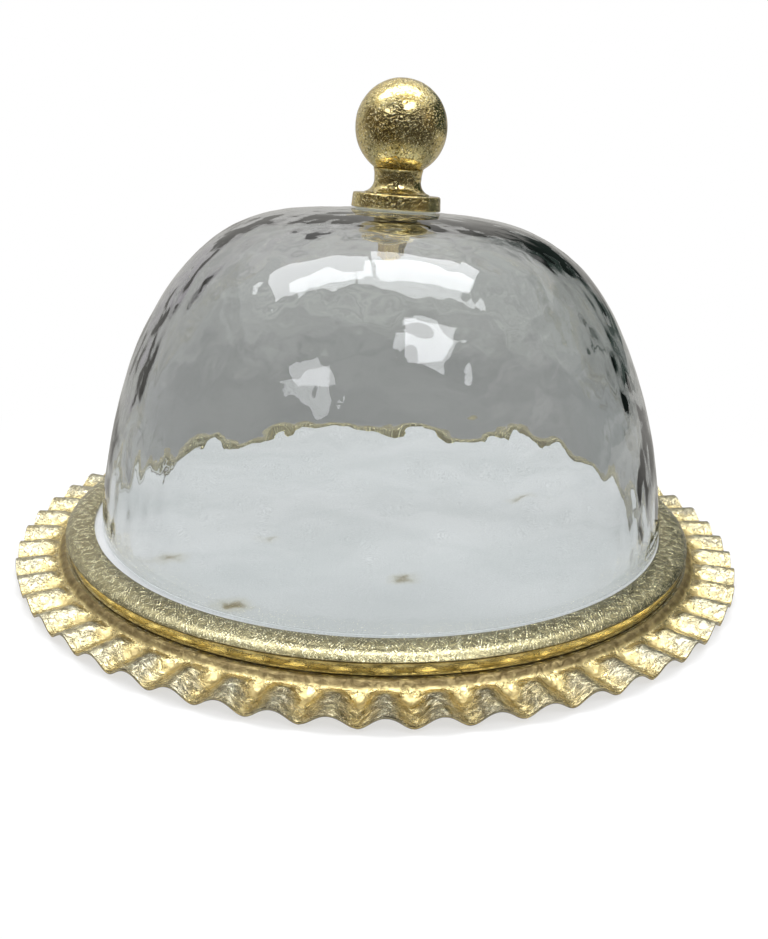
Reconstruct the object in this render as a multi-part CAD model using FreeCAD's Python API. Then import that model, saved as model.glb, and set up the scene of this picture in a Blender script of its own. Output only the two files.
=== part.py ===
"""Cheese dome: a blown-glass bell with a gilt ball knob, standing on a marble plate in a gilt ruffled tray.

Millimetres, +Z up. The origin is the middle of the tray on the surface that its feet stand on.
Every separate piece is one STEP file in parts/.
"""

import FreeCAD
import Part
import os
from math import atan2, cos, degrees, hypot, pi, radians, sin

V = FreeCAD.Vector

# ---------------------------------------------------------------- driving dimensions
# Tray
rim_radius = 159.0  # 318 mm over the ruffles
flute_count = 56
flute_depth = 4.0  # crest to valley at the rim
trough_start = 139.4  # the flat collar ends here, and the brim drops
trough_end = 142.6
trough_depth = 2.2
flute_start = 141.4  # the crests start to rise out of the trough here
flute_full = 147.0  # the ruffles have their full depth from here outwards
sheet = 1.8  # thickness of the cast collar and floor
rim_sheet = 1.3  # thickness of the brim at its edge
foot_height = 3.3
floor_bottom = foot_height
floor_top = floor_bottom + sheet
collar_top = 7.1
collar_bottom = collar_top - sheet
cap_radius = 138.8  # the brim surface takes over from the flat plate here

# Marble
bed_thickness = 0.7
marble_thickness = 8.0
marble_radius = 128.6
marble_bottom = floor_top + bed_thickness
marble_top = marble_bottom + marble_thickness
recess_radius = marble_radius + 0.6

# Hammered ring, its posts and the band under it
ring_inner = 126.7
ring_outer = 138.7
ring_lip = 1.5  # height of the ring's inner edge above the marble
ring_crown = 0.5  # how much higher the middle of the ring stands
band_outer = 137.7
band_thickness = 1.8
band_top = 12.3
post_count = 6
post_circle = 133.2
post_radius = 2.5
screw_radius = 1.5  # M3
screw_length = 6.0

# Glass
dome_foot_radius = 125.0
dome_height = 132.0  # foot to the outside of the crown
dome_swell = 5.1  # the wall widens by this much over the height before it closes
shoulder_power = 1.25
crown_power = 3.65
wall = 3.6
crown_wall = 5.0
foot_ease = 0.7  # rounding of the ground foot's two edges
crown_flat = 21.0  # radius of the ground flat under the knob
seat_shift = 1.4  # the bell stands this far off the middle, inside its play
crown_shift = 2.8  # the blown crown has run this far to +X
crown_tilt = 2.4  # degrees, towards +X
glass_hole = 5.0

# Knob, measured up from the crown flat along the knob's own axis
outer_gasket_thickness = 0.6
flange_radius = 18.9
flange_thickness = 5.8
ball_radius = 19.0
ball_centre = 32.2
neck_top_radius = 10.5
neck_waist_radius = 10.0
neck_foot_radius = 13.6
stud_radius = 3.0  # M6
stud_bore = 3.05
thread_pitch = 1.0
thread_depth = 0.55
stud_in_ball = 10.0

# Inside of the crown, measured down from the crown's inner face
inner_gasket_thickness = 1.2
inner_gasket_radius = 12.0
washer_thickness = 1.2
washer_radius = 13.0
spring_washer_thickness = 1.5
spring_washer_radius = 5.4
nut_across_flats = 10.0
nut_height = 5.5
nut_cap_radius = 4.6


# ---------------------------------------------------------------- shared helpers
def save(name, shape):
    """Writes one sub-part and says what it is."""
    if not shape.isValid() or shape.Volume <= 0:
        raise ValueError(name + " is not a valid solid")
    shape.exportStep("parts/" + name + ".step")
    print("%-16s %2d solid(s) %12.1f mm3" % (name, len(shape.Solids), shape.Volume))


def turned(path):
    """Solid of revolution about Z. path is a list of (r, z) points, and a 3-tuple (r, z, 'arc') is the
    middle point of an arc from the point before it to the point after it."""
    points = [V(p[0], 0, p[1]) for p in path]
    is_arc = [len(p) == 3 for p in path]
    count = len(path)
    edges = []
    i = 0
    while i < count:
        if is_arc[(i + 1) % count]:
            edges.append(Part.Arc(points[i], points[(i + 1) % count], points[(i + 2) % count]).toShape())
            i += 2
        else:
            edges.append(Part.LineSegment(points[i], points[(i + 1) % count]).toShape())
            i += 1
    return Part.Face(Part.Wire(edges)).revolve(V(0, 0, 0), V(0, 0, 1), 360)


def tube(outer, inner, low, high):
    """Plain ring between two radii and two heights."""
    return Part.makeCylinder(outer, high - low, V(0, 0, low)).cut(
        Part.makeCylinder(inner, high - low, V(0, 0, low))
    )


def around(shape, count, first_degrees=0.0):
    """Copies of shape turned about Z, as a list."""
    copies = []
    for i in range(count):
        copy = shape.copy()
        copy.rotate(V(0, 0, 0), V(0, 0, 1), first_degrees + i * 360.0 / count)
        copies.append(copy)
    return copies


def smooth_step(x):
    """0 below 0, 1 above 1, and smooth between."""
    x = min(1.0, max(0.0, x))
    return x * x * (3 - 2 * x)


# ---------------------------------------------------------------- tray
def brim_surface():
    """The ruffled brim's skin: one surface that runs out along the underside, round the edge and back
    along the top, closed around the tray."""
    per_flute = 8
    around_count = flute_count * per_flute
    # a cubic spline flattens a wave of its poles by this much, so the poles stand higher
    wave_gain = 3.0 / (2.0 + cos(2 * pi / per_flute))
    before_edge = rim_radius - 1.6
    # halfway between the two edge poles the spline is (before + 23 edge + 23 edge + before) / 48
    edge = (48 * rim_radius - 2 * before_edge) / 46
    flat_run = [cap_radius, trough_start]
    ruffle_run = [140.6, 141.8, 143.0, 144.4, 146.0, 148.0, 151.5, before_edge]
    radii = flat_run + ruffle_run + [edge]

    section_poles = []
    for r in radii:
        drop = trough_depth * smooth_step((r - trough_start) / (trough_end - trough_start))
        swing = flute_depth / 2 * smooth_step((r - flute_start) / (flute_full - flute_start))
        thinning = (sheet - rim_sheet) * smooth_step((r - trough_start) / (flute_full - trough_start))
        section_poles.append((r, collar_top - drop, swing, sheet - thinning))
    underside = [(r, top - thickness, swing) for r, top, swing, thickness in section_poles]
    upper_side = [(r, top, swing) for r, top, swing, _ in reversed(section_poles)]
    skin = underside + upper_side

    poles = []
    for i in range(around_count):
        angle = 2 * pi * i / around_count
        wave = wave_gain * cos(flute_count * angle)
        poles.append([V(r * cos(angle), r * sin(angle), level + swing * wave) for r, level, swing in skin])
    degree = 3
    spans = len(skin) - degree
    surface = Part.BSplineSurface()
    surface.buildFromPolesMultsKnots(
        poles,
        [1] * (around_count + 1),
        [degree + 1] + [1] * (spans - 1) + [degree + 1],
        [float(i) for i in range(around_count + 1)],
        [float(i) for i in range(spans + 1)],
        True,
        False,
        degree,
        degree,
    )
    return surface.toShape()


def ruffled_plate():
    """Flat plate with the ruffled brim around it, as one solid."""
    skin = brim_surface()
    rims = [edge for edge in skin.Edges if edge.isClosed()]
    shell = Part.Shell([skin] + [Part.Face(Part.Wire([rim])) for rim in rims])
    shell.sewShape()
    return Part.Solid(shell)


def ruffled_tray():
    """The gilt casting: floor pan, collar and ruffled brim, with countersunk holes for the ring screws."""
    pan_wall = 1.1  # thin enough to leave the screw heads clear
    pan_outer = recess_radius + pan_wall
    pan = Part.makeCylinder(pan_outer, collar_top - floor_bottom, V(0, 0, floor_bottom))
    tray = ruffled_plate().fuse(pan)
    recess_height = collar_top - floor_top
    tray = tray.cut(Part.makeCylinder(recess_radius, recess_height + 1, V(0, 0, floor_top)))
    clearance = screw_radius + 0.2
    head_radius = 2.85
    sink = Part.makeCone(head_radius, clearance, head_radius - clearance, V(post_circle, 0, collar_bottom))
    drill = Part.makeCylinder(clearance, 2 * sheet, V(post_circle, 0, collar_bottom - 0.5 * sheet))
    for hole in around(drill.fuse(sink), post_count, 180.0 / post_count):
        tray = tray.cut(hole)
    return tray


def foot(index, count):
    """Rubber bumper under the floor, on the diagonals."""
    circle = 108.0
    top_radius = 7.0
    bottom_radius = 6.2
    ease = 0.6
    body = turned(
        [
            (0, 0),
            (bottom_radius - ease, 0),
            (bottom_radius - 0.3 * ease, 0.3 * ease, "arc"),
            (bottom_radius, ease),
            (top_radius, foot_height),
            (0, foot_height),
        ]
    )
    body.translate(V(circle, 0, 0))
    body.rotate(V(0, 0, 0), V(0, 0, 1), 45 + index * 360.0 / count)
    return body


# ---------------------------------------------------------------- marble, ring, band, screws
def marble_slab():
    ease = 0.4
    return turned(
        [
            (0, marble_bottom),
            (marble_radius - ease, marble_bottom),
            (marble_radius, marble_bottom + ease),
            (marble_radius, marble_top - ease),
            (marble_radius - ease, marble_top),
            (0, marble_top),
        ]
    )


def marble_bed():
    """Thin soft pad that beds the slab."""
    return Part.makeCylinder(marble_radius - 2.5, bed_thickness, V(0, 0, floor_top))


def hammered_ring():
    """Cast ring that frames the slab: a thin lip over its edge, a rolled outer shoulder, and six posts that
    stand on the collar and take the screws."""
    inner_edge = marble_top + ring_lip
    top = inner_edge + ring_crown
    step_radius = marble_radius + 0.5
    body = turned(
        [
            (ring_inner, marble_top),
            (ring_inner, inner_edge - 0.5),
            (ring_inner + 0.15, inner_edge - 0.15, "arc"),
            (ring_inner + 0.5, inner_edge),
            (ring_inner + 3.6, top - 0.08, "arc"),
            (ring_outer - 4.2, top - 0.5),
            (ring_outer - 1.2, top - 1.5, "arc"),
            (ring_outer, top - 2.9),
            (ring_outer - 0.2, band_top + 0.2, "arc"),
            (ring_outer - 0.6, band_top),
            (step_radius, band_top),
            (step_radius, marble_top),
        ]
    )
    post = Part.makeCylinder(post_radius, band_top - collar_top + 0.5, V(post_circle, 0, collar_top))
    bore_depth = screw_length
    bore = Part.makeCylinder(screw_radius + 0.02, bore_depth, V(post_circle, 0, collar_top - 1))
    for one in around(post, post_count, 180.0 / post_count):
        body = body.fuse(one)
    for one in around(bore, post_count, 180.0 / post_count):
        body = body.cut(one)
    return body


def riser_band():
    """Band that shows between the ring and the collar."""
    ease = 0.5
    inner = band_outer - band_thickness
    return turned(
        [
            (inner, collar_top),
            (band_outer - ease, collar_top),
            (band_outer, collar_top + ease),
            (band_outer, band_top),
            (inner, band_top),
        ]
    )


def ring_screws():
    """Six countersunk screws, driven up through the collar into the ring's posts."""
    head_radius = 2.65
    head_height = head_radius - screw_radius
    shank = Part.makeCylinder(screw_radius, screw_length, V(0, 0, 0))
    head = Part.makeCone(head_radius, screw_radius, head_height, V(0, 0, 0))
    socket = hexagon(2.0, 1.2)
    screw = shank.fuse(head).cut(socket)
    screw.translate(V(post_circle, 0, collar_bottom + 0.05))
    return Part.makeCompound(around(screw, post_count, 180.0 / post_count))


def hexagon(across_flats, height):
    """Upright hexagonal prism on Z = 0."""
    corner = across_flats / (2 * cos(pi / 6))
    points = [V(corner * cos(k * pi / 3), corner * sin(k * pi / 3), 0) for k in range(6)]
    return Part.Face(Part.makePolygon(points + points[:1])).extrude(V(0, 0, height))


# ---------------------------------------------------------------- glass
def bell_radius(height_share):
    """Outside radius of the bell at a share of its height."""
    closing = (1 - height_share**shoulder_power) ** (1 / crown_power)
    return (dome_foot_radius + dome_swell * height_share) * closing


def bell_profile(steps=18):
    """Outside profile as (r, z, r of the inner wall, z of the inner wall), evenly spaced along the glass,
    from the foot to the crown flat. z is measured from the foot."""
    fine_count = 4000
    fine = []
    for i in range(fine_count + 1):
        share = 1 - (1 - i / fine_count) ** 3
        radius = bell_radius(share)
        if radius < crown_flat:
            break
        fine.append((radius, dome_height * share))
    lengths = [0.0]
    for (r0, z0), (r1, z1) in zip(fine, fine[1:]):
        lengths.append(lengths[-1] + hypot(r1 - r0, z1 - z0))

    profile = []
    for k in range(steps + 1):
        target = lengths[-1] * k / steps
        i = min(range(len(fine)), key=lambda j: abs(lengths[j] - target))
        before = fine[max(0, i - 8)]
        after = fine[min(len(fine) - 1, i + 8)]
        slope = atan2(after[1] - before[1], after[0] - before[0])
        share = fine[i][1] / dome_height
        thickness = wall + (crown_wall - wall) * share**4
        r_out, z_out = fine[i]
        profile.append((r_out, z_out, r_out - thickness * sin(slope), z_out + thickness * cos(slope)))
    # both ends are made square, so that the foot and the crown are flat
    r_out, _, _, _ = profile[0]
    profile[0] = (r_out, 0.0, r_out - wall, 0.0)
    r_out, _, r_in, _ = profile[-1]
    profile[-1] = (r_out, dome_height, min(r_in, r_out), dome_height - crown_wall)
    return profile


def run_out(share):
    """How much of the crown's run-out a level of the bell has."""
    return share * share


def section(radius, height, drop=0.0):
    """One circle of the bell, centred on the bell's axis at a height, or a drop below it along the axis.
    Higher circles are shifted and tipped towards +X."""
    amount = run_out(height / dome_height)
    axis_point = V(seat_shift + crown_shift * amount, 0, marble_top + height)
    level = FreeCAD.Placement(axis_point, FreeCAD.Rotation(V(0, 1, 0), crown_tilt * amount))
    circle = Part.Wire([Part.makeCircle(radius, V(0, 0, -drop))])
    circle.Placement = level
    return circle


def glass_dome():
    """The bell: outer skin less inner skin, with a ground foot and the knob's hole in the crown."""
    profile = bell_profile()
    outer = Part.makeLoft([section(r_out, z_out) for r_out, z_out, _, _ in profile], True, False)
    below_foot = 2.0
    inner_sections = [section(profile[0][2], 0, below_foot)]
    inner_sections += [section(r_in, z_out, z_out - z_in) for _, z_out, r_in, z_in in profile[1:]]
    inner = Part.makeLoft(inner_sections, True, False)
    bell = outer.cut(inner)
    foot_edges = [edge for edge in bell.Edges if edge.CenterOfMass.z < marble_top + foot_ease]
    bell = bell.makeFillet(foot_ease, foot_edges)
    hole = on_crown(Part.makeCylinder(glass_hole, 4 * crown_wall, V(0, 0, -2 * crown_wall)))
    return bell.cut(hole)


def on_crown(shape):
    """Moves a piece from the knob's own frame, whose origin is on the crown flat, to its place."""
    shape.Placement = FreeCAD.Placement(
        V(seat_shift + crown_shift, 0, marble_top + dome_height),
        FreeCAD.Rotation(V(0, 1, 0), crown_tilt),
    ).multiply(shape.Placement)
    return shape


# ---------------------------------------------------------------- knob
flange_bottom = outer_gasket_thickness
flange_top = flange_bottom + flange_thickness
ball_seat = ball_centre - (ball_radius**2 - neck_top_radius**2) ** 0.5


def knob_ball():
    """Cast ball with a blind tapped hole up from its seat."""
    ball = turned(
        [
            (0, ball_seat),
            (neck_top_radius, ball_seat),
            (ball_radius, ball_centre, "arc"),
            (0, ball_centre + ball_radius),
        ]
    )
    bore_depth = stud_in_ball + 2.5
    return ball.cut(Part.makeCylinder(stud_bore, bore_depth, V(0, 0, ball_seat)))


def knob_neck():
    """Waisted spool between the ball and the flange."""
    waist_height = flange_top + 0.62 * (ball_seat - flange_top)
    neck = turned(
        [
            (stud_bore, flange_top),
            (neck_foot_radius, flange_top),
            (neck_foot_radius, flange_top + 0.6),
            (neck_waist_radius + 0.75, flange_top + 2.6, "arc"),
            (neck_waist_radius, waist_height),
            (neck_waist_radius + 0.1, 0.5 * (waist_height + ball_seat), "arc"),
            (neck_top_radius, ball_seat),
            (stud_bore, ball_seat),
        ]
    )
    return neck


def knob_flange():
    """Round plate that spreads the knob's load over the crown."""
    ease = 0.9
    mid = ease * (1 - cos(pi / 4))
    return turned(
        [
            (stud_bore, flange_bottom),
            (flange_radius, flange_bottom),
            (flange_radius - 0.4, flange_top - ease),
            (flange_radius - 0.4 - mid, flange_top - mid, "arc"),
            (flange_radius - 0.4 - ease, flange_top),
            (stud_bore, flange_top),
        ]
    )


def knob_stud():
    """Threaded rod from the ball to the cap nut. The thread is a row of closed grooves, not a helix."""
    top = ball_seat + stud_in_ball
    bottom = -crown_wall - nut_stack() - nut_height
    path = [(0, bottom), (stud_radius - thread_depth, bottom)]
    turns = int((top - bottom - 1.0) / thread_pitch)
    for k in range(turns):
        root = bottom + 0.5 + k * thread_pitch
        path.append((stud_radius - thread_depth, root))
        path.append((stud_radius, root + 0.45 * thread_pitch))
        path.append((stud_radius, root + 0.55 * thread_pitch))
    path.append((stud_radius - thread_depth, bottom + 0.5 + turns * thread_pitch))
    path.append((stud_radius - thread_depth, top))
    path.append((0, top))
    return turned(path)


def outer_gasket():
    return tube(flange_radius - 2.0, stud_bore + 0.15, 0, outer_gasket_thickness)


def hole_sleeve():
    """Nylon sleeve that keeps the steel off the glass."""
    return tube(glass_hole - 0.3, stud_bore + 0.1, -crown_wall, 0)


# ---------------------------------------------------------------- hardware inside the crown
def nut_stack():
    """Height of what lies between the crown's inner face and the cap nut."""
    return inner_gasket_thickness + washer_thickness + spring_washer_thickness


def inner_gasket():
    top = -crown_wall
    return tube(inner_gasket_radius, stud_bore + 0.15, top - inner_gasket_thickness, top)


def backing_washer():
    top = -crown_wall - inner_gasket_thickness
    ease = 0.3
    bottom = top - washer_thickness
    return turned(
        [
            (stud_bore + 0.15, bottom),
            (washer_radius - ease, bottom),
            (washer_radius, bottom + ease),
            (washer_radius, top),
            (stud_bore + 0.15, top),
        ]
    )


def spring_washer():
    """Split ring."""
    top = -crown_wall - inner_gasket_thickness - washer_thickness
    bottom = top - spring_washer_thickness
    ring = tube(spring_washer_radius, stud_bore + 0.1, bottom, top)
    split_width = 0.9
    split_slant = 20
    split = Part.makeBox(
        spring_washer_radius, split_width, 3 * spring_washer_thickness, V(0, -split_width / 2, 0)
    )
    split.rotate(V(0, 0, 0), V(1, 0, 0), split_slant)
    split.translate(V(stud_bore - 0.5, 0, bottom - spring_washer_thickness))
    return ring.cut(split)


def cap_nut():
    """Acorn nut that closes the stack and hides the end of the stud."""
    top = -crown_wall - nut_stack()
    hexagon_body = hexagon(nut_across_flats, nut_height)
    chamfer_radius = nut_across_flats / 2 + 0.25
    chamfer = turned(
        [
            (0, 0),
            (chamfer_radius, 0),
            (chamfer_radius + 1.2, 0.7),
            (chamfer_radius + 1.2, nut_height - 0.7),
            (chamfer_radius, nut_height),
            (0, nut_height),
        ]
    )
    body = hexagon_body.common(chamfer)
    dome = Part.makeSphere(nut_cap_radius, V(0, 0, 0)).common(
        Part.makeCylinder(2 * nut_cap_radius, 2 * nut_cap_radius, V(0, 0, -2 * nut_cap_radius + 0.5))
    )
    nut = body.fuse(dome)
    bore = Part.makeCylinder(stud_bore, nut_height + 2.0, V(0, 0, -2.0))
    nut = nut.cut(bore)
    nut.translate(V(0, 0, top - nut_height))
    return nut


# ---------------------------------------------------------------- build
def main():
    os.makedirs("parts", exist_ok=True)
    save("ruffled_tray", ruffled_tray())
    save("marble_bed", marble_bed())
    save("marble_slab", marble_slab())
    save("riser_band", riser_band())
    save("hammered_ring", hammered_ring())
    save("ring_screws", ring_screws())
    foot_count = 4
    for i in range(foot_count):
        save("rubber_foot_%d" % (i + 1), foot(i, foot_count))

    save("glass_dome", glass_dome())
    knob_pieces = {
        "knob_ball": knob_ball,
        "knob_neck": knob_neck,
        "knob_flange": knob_flange,
        "knob_stud": knob_stud,
        "outer_gasket": outer_gasket,
        "hole_sleeve": hole_sleeve,
        "inner_gasket": inner_gasket,
        "backing_washer": backing_washer,
        "spring_washer": spring_washer,
        "cap_nut": cap_nut,
    }
    for name, make in knob_pieces.items():
        save(name, on_crown(make()))


main()
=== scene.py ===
from math import cos, pi, radians, sin

import bpy
import numpy as np
from mathutils import Matrix, Vector, noise


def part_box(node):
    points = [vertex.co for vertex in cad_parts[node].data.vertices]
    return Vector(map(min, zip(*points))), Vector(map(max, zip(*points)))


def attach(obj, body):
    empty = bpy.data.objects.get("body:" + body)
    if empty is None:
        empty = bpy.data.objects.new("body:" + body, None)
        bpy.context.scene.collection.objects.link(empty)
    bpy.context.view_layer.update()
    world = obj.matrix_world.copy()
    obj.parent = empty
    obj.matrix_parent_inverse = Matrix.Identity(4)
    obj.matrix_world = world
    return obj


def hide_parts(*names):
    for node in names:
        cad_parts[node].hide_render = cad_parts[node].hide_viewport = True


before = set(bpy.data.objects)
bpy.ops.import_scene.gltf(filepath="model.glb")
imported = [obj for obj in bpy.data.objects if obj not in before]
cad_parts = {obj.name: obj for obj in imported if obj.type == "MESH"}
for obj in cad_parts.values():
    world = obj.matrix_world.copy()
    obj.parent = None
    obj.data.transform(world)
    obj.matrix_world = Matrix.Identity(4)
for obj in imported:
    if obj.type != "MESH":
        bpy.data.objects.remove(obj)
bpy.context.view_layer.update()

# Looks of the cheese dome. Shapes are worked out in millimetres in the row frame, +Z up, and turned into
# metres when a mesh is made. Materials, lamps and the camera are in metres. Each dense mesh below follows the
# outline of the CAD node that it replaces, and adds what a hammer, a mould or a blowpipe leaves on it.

METRES = 0.001


def box_mm(node):
    """Lowest and highest corner of a CAD node, in millimetres."""
    low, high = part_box(node)
    return low / METRES, high / METRES


# -------------------------------- sizes, read from the frame
_, slab_high = box_mm("marble_slab")
_, ring_high = box_mm("hammered_ring")
band_low, band_high = box_mm("riser_band")
_, tray_high = box_mm("ruffled_tray")
bed_low, _ = box_mm("marble_bed")

marble_top = slab_high.z
marble_radius = slab_high.x
ring_outer = ring_high.x
band_outer = band_high.x
band_bottom = band_low.z
band_top = band_high.z
rim_radius = tray_high.x
collar_top = band_bottom
floor_top = bed_low.z

# -------------------------------- sizes that the design gives
# the ring, which stands a lip above the marble on six bored posts, and the band around its foot
ring_inner = 126.7
ring_lip = 1.5
band_thickness = 1.8
post_count = 6
post_circle = 133.2
post_radius = 2.5
screw_bore = 1.52

# the tray: radii at which the trough and the flutes begin and are full, and the metal's thicknesses
flute_count = 56
flute_depth = 4.0
trough_start = 139.4
trough_end = 142.6
trough_depth = 2.2
flute_start = 141.4
flute_full = 147.0
sheet = 1.8
rim_sheet = 1.3
pan_wall = 1.1
recess_radius = marble_radius + 0.6
brim_root = 138.8

# the bell, a superellipse closed in by its two powers, and how far its crown leans
dome_foot_radius = 125.0
dome_height = 132.0
dome_swell = 5.1
shoulder_power = 1.25
crown_power = 3.65
glass_wall = 3.6
crown_wall = 5.0
foot_ease = 0.7
crown_flat = 21.0
glass_hole = 5.0
seat_shift = 1.4
crown_shift = 2.8
crown_tilt = 2.4

# the knob, with heights above the crown flat
flange_bottom = 0.6
flange_top = 6.4
flange_radius = 18.9
ball_radius = 19.0
ball_centre = 32.2
neck_top_radius = 10.5
neck_waist_radius = 10.0
neck_foot_radius = 13.6
stud_bore = 3.05
ball_seat = ball_centre - (ball_radius**2 - neck_top_radius**2) ** 0.5


# -------------------------------- shape helpers
def smooth_step(x):
    """0 below 0, 1 above 1, and smooth between. Takes numbers or arrays."""
    x = np.clip(x, 0.0, 1.0)
    return x * x * (3 - 2 * x)


def noise_at(points, size, seed):
    """Smooth noise from about -1 to 1 at each point, with blobs about size across. seed picks the place."""
    offset = Vector((17.3 * seed, -9.1 * seed, 5.7 * seed))
    flat = points.reshape(-1, 3) / size
    values = [noise.noise(Vector(point) + offset) for point in flat]
    return np.array(values).reshape(points.shape[:-1])


def arc_points(start, middle, end, spacing):
    """Points from start towards end on the arc through middle, in the (r, z) plane."""
    (ax, ay), (bx, by), (cx, cy) = start, middle, end
    d = 2 * (ax * (by - cy) + bx * (cy - ay) + cx * (ay - by))
    a2, b2, c2 = ax * ax + ay * ay, bx * bx + by * by, cx * cx + cy * cy
    mid_x = (a2 * (by - cy) + b2 * (cy - ay) + c2 * (ay - by)) / d
    mid_y = (a2 * (cx - bx) + b2 * (ax - cx) + c2 * (bx - ax)) / d
    first, second, third = (np.arctan2(y - mid_y, x - mid_x) for x, y in (start, middle, end))
    turn = (third - first) % (2 * pi)
    if (second - first) % (2 * pi) > turn:
        turn -= 2 * pi
    radius = np.hypot(ax - mid_x, ay - mid_y)
    steps = max(2, int(round(abs(turn) * radius / spacing)))
    at = first + turn * np.arange(steps) / steps
    return [(mid_x + radius * np.cos(a), mid_y + radius * np.sin(a)) for a in at]


def trace(outline, spacing, closed=True):
    """Evenly spaced points along an outline of (r, z) points. A point with a third item is the middle of an
    arc between its neighbours."""
    count = len(outline)
    points = []
    i = 0
    last = count if closed else count - 1
    while i < last:
        here = outline[i][:2]
        ahead = outline[(i + 1) % count]
        if len(ahead) == 3:
            points += arc_points(here, ahead[:2], outline[(i + 2) % count][:2], spacing)
            i += 2
        else:
            steps = max(1, int(round(np.hypot(ahead[0] - here[0], ahead[1] - here[1]) / spacing)))
            way = np.array(ahead) - np.array(here)
            points += [tuple(np.array(here) + way * k / steps) for k in range(steps)]
            i += 1
    if not closed:
        points.append(outline[-1][:2])
    return np.array(points, float)


def outline_normals(path, closed):
    """Outward normals of a path that runs counter-clockwise in the (r, z) plane."""
    if closed:
        tangent = np.roll(path, -1, axis=0) - np.roll(path, 1, axis=0)
    else:
        tangent = np.gradient(path, axis=0)
    tangent /= np.maximum(np.linalg.norm(tangent, axis=1, keepdims=True), 1e-9)
    return np.stack([tangent[:, 1], -tangent[:, 0]], axis=1)


def swept(path, count, closed):
    """Grid of points swept around Z: (rows, count, 3), with the normals and the angles."""
    angles = 2 * pi * np.arange(count) / count
    around = np.stack([np.cos(angles), np.sin(angles)], axis=1)
    normal = outline_normals(path, closed)
    points = np.empty((len(path), count, 3))
    normals = np.empty((len(path), count, 3))
    for grid, line in ((points, path), (normals, normal)):
        grid[:, :, :2] = line[:, None, :1] * around[None]
        grid[:, :, 2] = line[:, 1, None]
    return points, normals, angles


def grid_faces(rows, count, closed):
    """Quads between the rows of a swept grid. closed joins the last row to the first."""
    faces = []
    last = rows if closed else rows - 1
    for i in range(last):
        below, above = i * count, ((i + 1) % rows) * count
        for j in range(count):
            k = (j + 1) % count
            faces.append((below + j, below + k, above + k, above + j))
    return faces


def swept_mesh(points, closed):
    """Vertices and faces of a swept grid. An open path starts and ends on the axis, and fans cap it there."""
    rows, count = points.shape[:2]
    if closed:
        return points.reshape(-1, 3), grid_faces(rows, count, True)
    inner = points[1:-1]
    vertices = np.concatenate([inner.reshape(-1, 3), points[:1, 0], points[-1:, 0]])
    faces = grid_faces(rows - 2, count, False)
    first, final = len(vertices) - 2, len(vertices) - 1
    top = (rows - 3) * count
    for j in range(count):
        k = (j + 1) % count
        faces.append((first, k, j))
        faces.append((final, top + j, top + k))
    return vertices, faces


def mesh_object(name, parts, marks=None, smooth_angle=None):
    """One object from (vertices, faces) parts in millimetres. marks is a value for each vertex, kept on the
    mesh as the attribute "mark" for the material to read. Edges past smooth_angle degrees stay sharp."""
    vertices = []
    faces = []
    for part_vertices, part_faces in parts:
        start = len(vertices)
        vertices.extend((np.asarray(part_vertices) * METRES).tolist())
        faces.extend(tuple(start + index for index in face) for face in part_faces)
    mesh = bpy.data.meshes.new(name)
    mesh.from_pydata(vertices, [], faces)
    mesh.update()
    mesh.shade_smooth()
    if smooth_angle is not None:
        mesh.set_sharp_from_angle(angle=radians(smooth_angle))
    if marks is not None:
        values = np.zeros(len(vertices), np.float32)
        values[: len(marks)] = marks
        mesh.attributes.new("mark", "FLOAT", "POINT").data.foreach_set("value", values)
    return new_object(name, mesh)


def new_object(name, data):
    """A new object of the scene that shows data."""
    made = bpy.data.objects.new(name, data)
    bpy.context.scene.collection.objects.link(made)
    return made


def post_places():
    """Where the ring's posts stand, as offsets from the axis."""
    for i in range(post_count):
        angle = 2 * pi * (i + 0.5) / post_count
        yield np.array([post_circle * cos(angle), post_circle * sin(angle), 0])


def crown_frame():
    """From the knob's own frame, on the crown flat, to the row frame. In millimetres."""
    top = Vector((seat_shift + crown_shift, 0, marble_top + dome_height))
    return Matrix.Translation(top) @ Matrix.Rotation(radians(crown_tilt), 4, "Y")


def moved(points, matrix):
    """Points under a matrix."""
    turn = np.array(matrix.to_3x3())
    return points @ turn.T + np.array(matrix.translation)


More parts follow.
